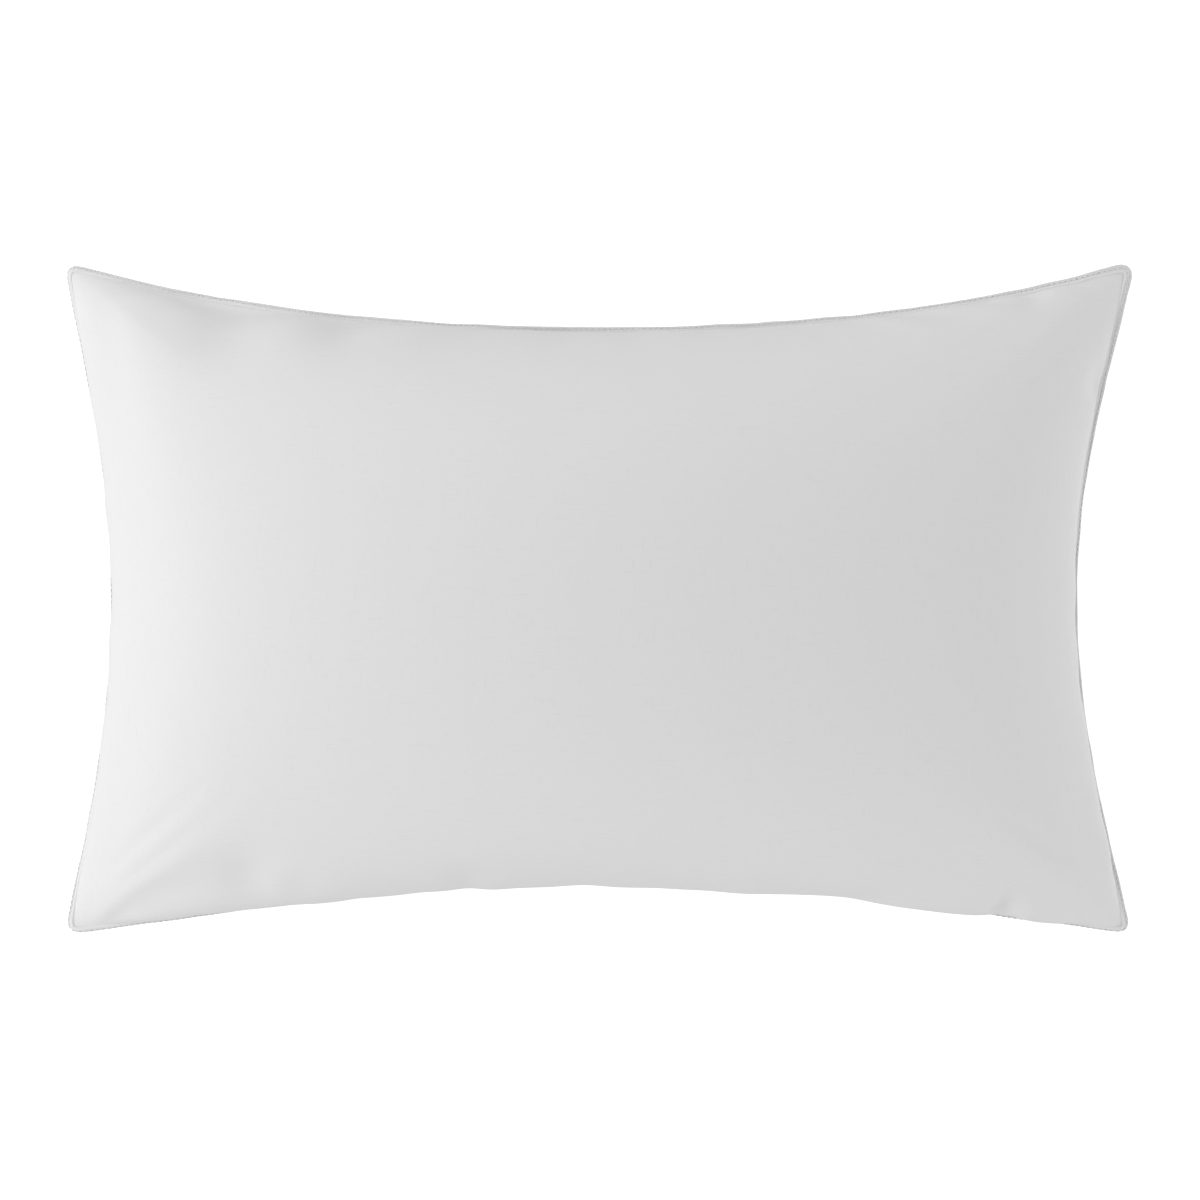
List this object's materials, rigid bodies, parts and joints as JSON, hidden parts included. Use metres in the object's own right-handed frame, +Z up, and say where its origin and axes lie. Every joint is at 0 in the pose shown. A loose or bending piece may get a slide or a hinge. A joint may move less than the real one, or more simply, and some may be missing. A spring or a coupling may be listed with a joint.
{
  "type": "bed pillow",
  "caption": "Rectangular bed pillow: woven cotton panels sewn round a loose polyester fibre filling, with an edge-stitched lip.",
  "frame": {"origin": "the middle of the flat patch that the pillow rests on, at the bottom centre of its box", "axes": "+X along the pillow's length, +Y across its width and +Z up through its thickness, out of the front panel"},
  "size_m": [0.78, 0.49, 0.1798],
  "materials": {
    "ticking_cotton": "matte",
    "polyester_fibre": "matte",
    "sewing_thread": "satin",
    "label_satin": "satin"
  },
  "bodies": {
    "pillow": {"front_panel": "ticking_cotton", "back_panel": "ticking_cotton", "fiberfill_core": "polyester_fibre", "edge_stitch_needle_thread": "sewing_thread", "edge_stitch_bobbin_thread": "sewing_thread", "overlock_needle_thread": "sewing_thread", "overlock_upper_looper_thread": "sewing_thread", "overlock_lower_looper_thread": "sewing_thread", "care_label": "label_satin"}
  },
  "joints": []
}
